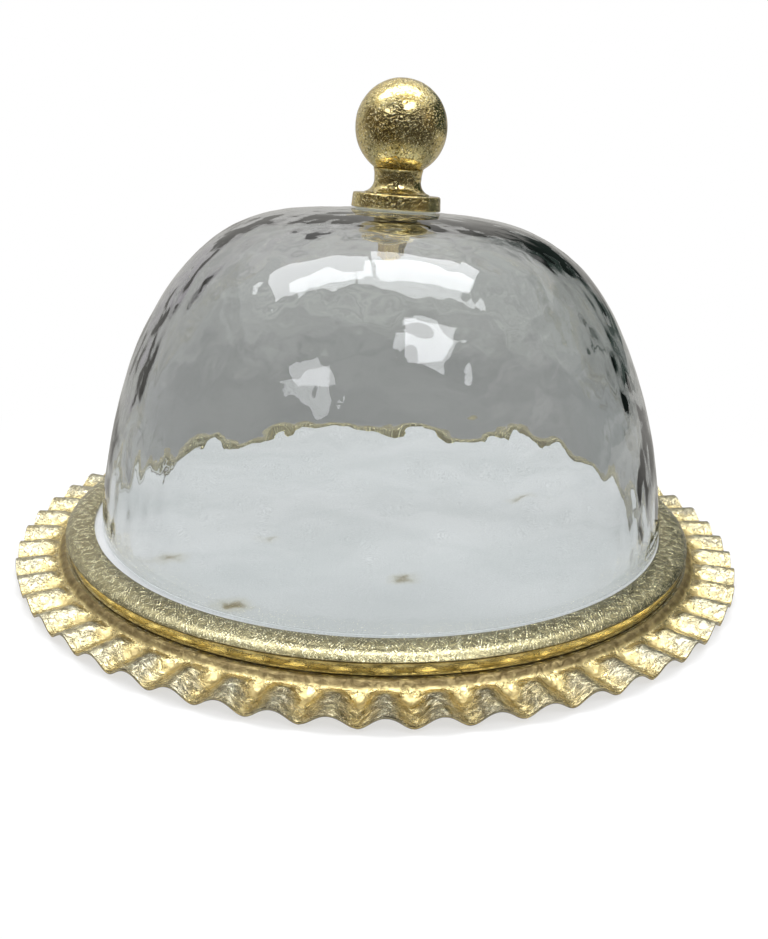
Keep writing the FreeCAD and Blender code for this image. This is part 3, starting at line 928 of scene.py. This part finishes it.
# -------------------------------- the knob
def knob_piece(name, outline, material, spacing, count, closed, seed):
    """A cast knob piece, pitted and a little out of round, set on the crown. The lumps and pits fade out at
    its seat. A closed outline has a second seat on top, and a bore, and they fade out there too."""
    path = trace(outline, spacing, closed)
    points, normals, _ = swept(path, count, closed)
    lumps = 0.08 * noise_at(points, 8.0, seed) + 0.02 * noise_at(points, 2.2, seed + 1)
    pits = np.clip(noise_at(points, 1.3, seed + 2) - 0.36, 0, 1) * 0.4
    bottom, top = path[:, 1].min(), path[:, 1].max()
    clear_of_seat = smooth_step((path[:, 1] - bottom - 0.05) / 0.5)
    if closed:
        clear_of_seat = clear_of_seat * smooth_step((top - path[:, 1] - 0.05) / 0.5)
        clear_of_seat = clear_of_seat * smooth_step((path[:, 0] - stud_bore - 0.3) / 0.5)
    height = (lumps - pits - 0.14) * clear_of_seat[:, None]
    points = points + normals * height[..., None]
    points = moved(points, crown_frame())
    marks = pits * clear_of_seat[:, None] * 3
    if not closed:
        marks = np.concatenate([marks[1:-1].ravel(), marks[:1, 0], marks[-1:, 0]])
    marks = np.clip(marks.ravel(), 0, 1)
    piece = mesh_object(name, [swept_mesh(points, closed)], marks, smooth_angle=50)
    wear(piece, material)
    return piece


def knob():
    """Ball, neck and flange."""
    pale, deep, dark = (0.74, 0.63, 0.31), (0.68, 0.52, 0.19), (0.06, 0.04, 0.018)
    speckled = speckled_gilt("gilt_knob", pale, deep, dark, roughness=0.14)
    ball_outline = [
        (0, ball_seat),
        (neck_top_radius - 0.4, ball_seat),
        (neck_top_radius + 0.1, ball_seat + 0.35),
        (ball_radius, ball_centre, "arc"),
        (0, ball_centre + ball_radius),
    ]
    ball = knob_piece(
        "knob_ball_skin", ball_outline, speckled, spacing=0.42, count=300, closed=False, seed=61
    )
    waist_height = flange_top + 0.62 * (ball_seat - flange_top)
    neck_outline = [
        (stud_bore, flange_top),
        (neck_foot_radius, flange_top),
        (neck_foot_radius, flange_top + 0.6),
        (neck_waist_radius + 0.75, flange_top + 2.6, "arc"),
        (neck_waist_radius, waist_height),
        (neck_waist_radius + 0.1, 0.5 * (waist_height + ball_seat), "arc"),
        (neck_top_radius, ball_seat - 0.25),
        (neck_top_radius - 0.35, ball_seat),
        (stud_bore, ball_seat),
    ]
    neck = knob_piece("knob_neck_skin", neck_outline, speckled, spacing=0.4, count=220, closed=True, seed=71)
    ease = 0.9
    mid = ease * (1 - cos(pi / 4))
    flange_outline = [
        (stud_bore, flange_bottom),
        (flange_radius - 0.3, flange_bottom),
        (flange_radius, flange_bottom + 0.3),
        (flange_radius - 0.4, flange_top - ease),
        (flange_radius - 0.4 - mid, flange_top - mid, "arc"),
        (flange_radius - 0.4 - ease, flange_top),
        (stud_bore, flange_top),
    ]
    flange = knob_piece(
        "knob_flange_skin", flange_outline, speckled, spacing=0.42, count=300, closed=True, seed=81
    )
    return ball, neck, flange


# -------------------------------- CAD nodes that keep their shape
def dress_cad_nodes():
    """Materials for the CAD nodes whose shapes are right as they are."""
    marble = marble_material()
    pale, dark = (0.30, 0.30, 0.30), (0.16, 0.16, 0.17)
    felt = plain_material("grey_felt", pale, dark, roughness=0.85, grain_scale=2200.0, bump_mm=0.25)
    pale, dark = (0.68, 0.68, 0.69), (0.45, 0.45, 0.46)
    steel = plain_material("stainless_steel", pale, dark, 0.3, 1500.0, 0.02, metallic=1.0)
    pale, dark = (0.86, 0.70, 0.36), (0.62, 0.46, 0.20)
    brass = plain_material("polished_brass", pale, dark, 0.22, 900.0, 0.02, metallic=1.0)
    pale, dark = (0.82, 0.82, 0.79), (0.66, 0.66, 0.63)
    silicone = plain_material("clear_silicone", pale, dark, 0.45, 800.0, 0.04)
    pale, dark = (0.86, 0.85, 0.80), (0.72, 0.71, 0.66)
    nylon = plain_material("natural_nylon", pale, dark, 0.5, 1200.0, 0.03)
    pale, dark = (0.055, 0.055, 0.058), (0.022, 0.022, 0.024)
    rubber = plain_material("black_rubber", pale, dark, 0.7, 1600.0, 0.08)
    finishes = {
        "marble_slab": marble,
        "marble_bed": felt,
        "ring_screws": steel,
        "knob_stud": steel,
        "spring_washer": steel,
        "backing_washer": brass,
        "cap_nut": brass,
        "outer_gasket": silicone,
        "inner_gasket": silicone,
        "hole_sleeve": nylon,
    }
    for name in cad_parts:
        if name.startswith("rubber_foot"):
            finishes[name] = rubber
    for name, material in finishes.items():
        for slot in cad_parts[name].material_slots:
            slot.material = material


# -------------------------------- stage, lights, camera
# what the glass and the gilding see of the room, in linear light
studio_grey_low = (0.29, 0.295, 0.285)
studio_grey_high = (0.40, 0.405, 0.39)
studio_shade = (0.16, 0.16, 0.165)
studio_dark_right = (0.035, 0.05, 0.043)
studio_dim_left = (0.33, 0.315, 0.34)
studio_dark_front = (0.05, 0.045, 0.038)
studio_table = (0.58, 0.57, 0.54)
studio_pale_wall = (0.95, 0.90, 0.90)
studio_back_wall = (0.54, 0.53, 0.50)
studio_far_wall = (0.45, 0.445, 0.44)
studio_side_wall = (0.11, 0.095, 0.08)
studio_ceiling = (0.92, 0.92, 0.90)
pure_white = (1.0, 1.0, 1.0, 1.0)
floor_paint = (0.93, 0.93, 0.93, 1.0)


def stage_floor():
    """Pale floor under the object. What the camera sees of it fades into the white studio. Through the glass
    it is the studio's grey. In the gilding it is a table, and past that what stands around."""
    half = 3.0
    corners = [(-half, -half, 0), (half, -half, 0), (half, half, 0), (-half, half, 0)]
    mesh = bpy.data.meshes.new("floor")
    mesh.from_pydata(corners, [], [(0, 1, 2, 3)])
    floor = new_object("floor", mesh)
    material, t = new_material("studio_floor")
    at = t.place()
    away = t.length(at)
    lit = t.add("BsdfDiffuse", None, {"Color": floor_paint})
    fade = t.spread(away, 0.10, 0.30, 0.55, 1.0)
    seen = t.blend(fade, lit, t.glow(pure_white))
    patchy = t.spread(t.noise(at, 5.0, 4.0, 0.6), 0.3, 0.7)
    tone = t.mix(patchy, studio_grey_low, studio_grey_high)
    tone = t.mix(t.spread(away, 0.25, 0.9, 0.45, 0.0), tone, studio_shade)
    _, depth, _ = t.split(at)
    in_front = t.spread(depth, -0.2, 0.35, 1.0, 0.0)
    far_tone = t.mix(in_front, studio_back_wall, studio_dark_front)
    mirrored_tone = t.mix(t.spread(away, 0.19, 0.29), studio_table, far_tone)
    # a ray that has come through glass can be glossy as well, so the test for it comes last
    path = t.add("LightPath")
    shader = t.blend(path.outputs["Is Glossy Ray"], seen, t.glow(mirrored_tone))
    t.out(t.blend(path.outputs["Is Transmission Ray"], shader, t.glow(tone)))
    wear(floor, material)


def studio_world():
    """White to the camera. Through the glass, a grey room with a dark green corner at the back on the right.
    In the gilding, a paler wall at the back, dark in front, and a bright wall in front on the right."""
    world = bpy.data.worlds.new("studio")
    bpy.context.scene.world = world
    world.use_nodes = True
    t = Tree(world.node_tree)
    towards = t.add("TexCoord").outputs["Generated"]
    x, y, z = t.split(towards)
    patchy = t.noise(t.vector("MULTIPLY", towards, (1.6, 1.6, 8.0)), 1.6, 4.0, 0.6, 0.4)
    uneven = t.spread(patchy, 0.2, 0.8, -0.15, 0.15)
    behind = t.spread(y, -0.25, 0.1)
    raised = t.math("MULTIPLY", t.spread(z, -0.05, 0.35), 0.25)
    to_right = t.math("ADD", x, raised)
    to_left = t.math("SUBTRACT", raised, x)

    def lay(room, share, colour, where=1.0):
        """Puts a colour over the room where share, made ragged, is above nothing."""
        ragged = t.spread(t.math("ADD", share, uneven), 0.0, 0.14)
        return t.mix(t.math("MULTIPLY", ragged, where), room, colour)

    grey = t.mix(patchy, studio_grey_low, studio_grey_high)
    through = lay(grey, t.math("ADD", z, 0.05), studio_far_wall)
    through = lay(through, t.math("SUBTRACT", to_right, 0.42), studio_dark_right, behind)
    through = lay(through, t.math("SUBTRACT", to_left, 0.46), studio_dim_left, behind)
    at_back = t.spread(y, 0.15, 0.55)
    mirrored = lay(studio_side_wall, t.math("ADD", z, 0.15), studio_back_wall, at_back)
    mirrored = lay(mirrored, t.math("SUBTRACT", to_right, 0.46), studio_dark_right, behind)
    for aim, reach, colour in (
        ((0.0, 0.0, 1.0), 0.52, studio_ceiling),
        ((0.0, -0.95, 0.30), 0.58, studio_dark_front),
        ((0.82, -0.33, 0.46), 0.96, studio_pale_wall),
    ):
        mirrored = lay(mirrored, t.math("SUBTRACT", t.dot(towards, aim), reach), colour)
    path = t.add("LightPath")
    room = t.mix(path.outputs["Is Transmission Ray"], mirrored, through)
    lit = t.add("Background", None, {"Color": room, "Strength": 1.0})
    white = t.add("Background", None, {"Color": pure_white, "Strength": 1.0})
    t.out(t.blend(path.outputs["Is Camera Ray"], lit, white), "OutputWorld")


def panel(name, middle, width, depth, radiance):
    """Rectangular lamp panel of a given radiance, which faces straight down."""
    data = bpy.data.lights.new(name, "AREA")
    data.shape = "RECTANGLE"
    data.size = width
    data.size_y = depth
    data.energy = radiance * width * depth * pi
    data.color = (0.95, 0.965, 1.0)
    new_object(name, data).location = middle


def studio_lights():
    """Two ceiling windows side by side overhead, and two smaller ones in front."""
    ceiling = 1.33
    panel("window_left", (-0.55, 0.10, ceiling), 0.82, 0.40, 6.1)
    panel("window_right", (0.28, 0.14, ceiling), 0.80, 0.52, 6.1)
    panel("front_right", (0.42, -0.95, ceiling), 0.56, 0.62, 7.0)
    panel("front_left", (-1.15, -1.38, ceiling), 0.62, 0.50, 5.0)


def camera():
    """The camera stands in front and a little to the left, looking down at the ring."""
    look_at = Vector((0, 0, marble_top + ring_lip)) * METRES
    distance = 0.409
    elevation = 21.13
    azimuth = -1.5
    raised = 1.98
    panned = 0.34
    rolled = 1.49
    data = bpy.data.cameras.new("camera")
    data.sensor_width = 36.0
    data.lens = 33.38
    eye = new_object("camera", data)
    around = Matrix.Rotation(radians(azimuth), 4, "Z")
    upright = Matrix.Rotation(radians(90 - elevation), 4, "X")
    place = Matrix.Translation(look_at) @ around @ upright @ Matrix.Translation((0, 0, distance))
    own_turn = Matrix.Rotation(radians(-panned), 4, "Y") @ Matrix.Rotation(radians(raised), 4, "X")
    eye.matrix_world = place @ own_turn @ Matrix.Rotation(radians(rolled), 4, "Z")
    bpy.context.scene.camera = eye


# -------------------------------- build
def main():
    """Builds every piece, and puts each on its body in place of its CAD node."""
    ball, neck, flange = knob()
    pieces = (
        (ruffled_tray(), "base", "ruffled_tray", "gilt_leaf"),
        (riser_band(), "base", "riser_band", "gilt_band"),
        (hammered_ring(), "base", "hammered_ring", "gilt_hammered"),
        (glass_bell(), "dome", "glass_dome", "glass"),
        (ball, "dome", "knob_ball", "gilt_knob"),
        (neck, "dome", "knob_neck", "gilt_knob"),
        (flange, "dome", "knob_flange", "gilt_knob"),
    )
    for piece, body, node, slot in pieces:
        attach(piece, body)
        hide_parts(node)
    dress_cad_nodes()
    stage_floor()
    studio_world()
    studio_lights()
    camera()
    bpy.context.scene.view_settings.view_transform = "Standard"


main()
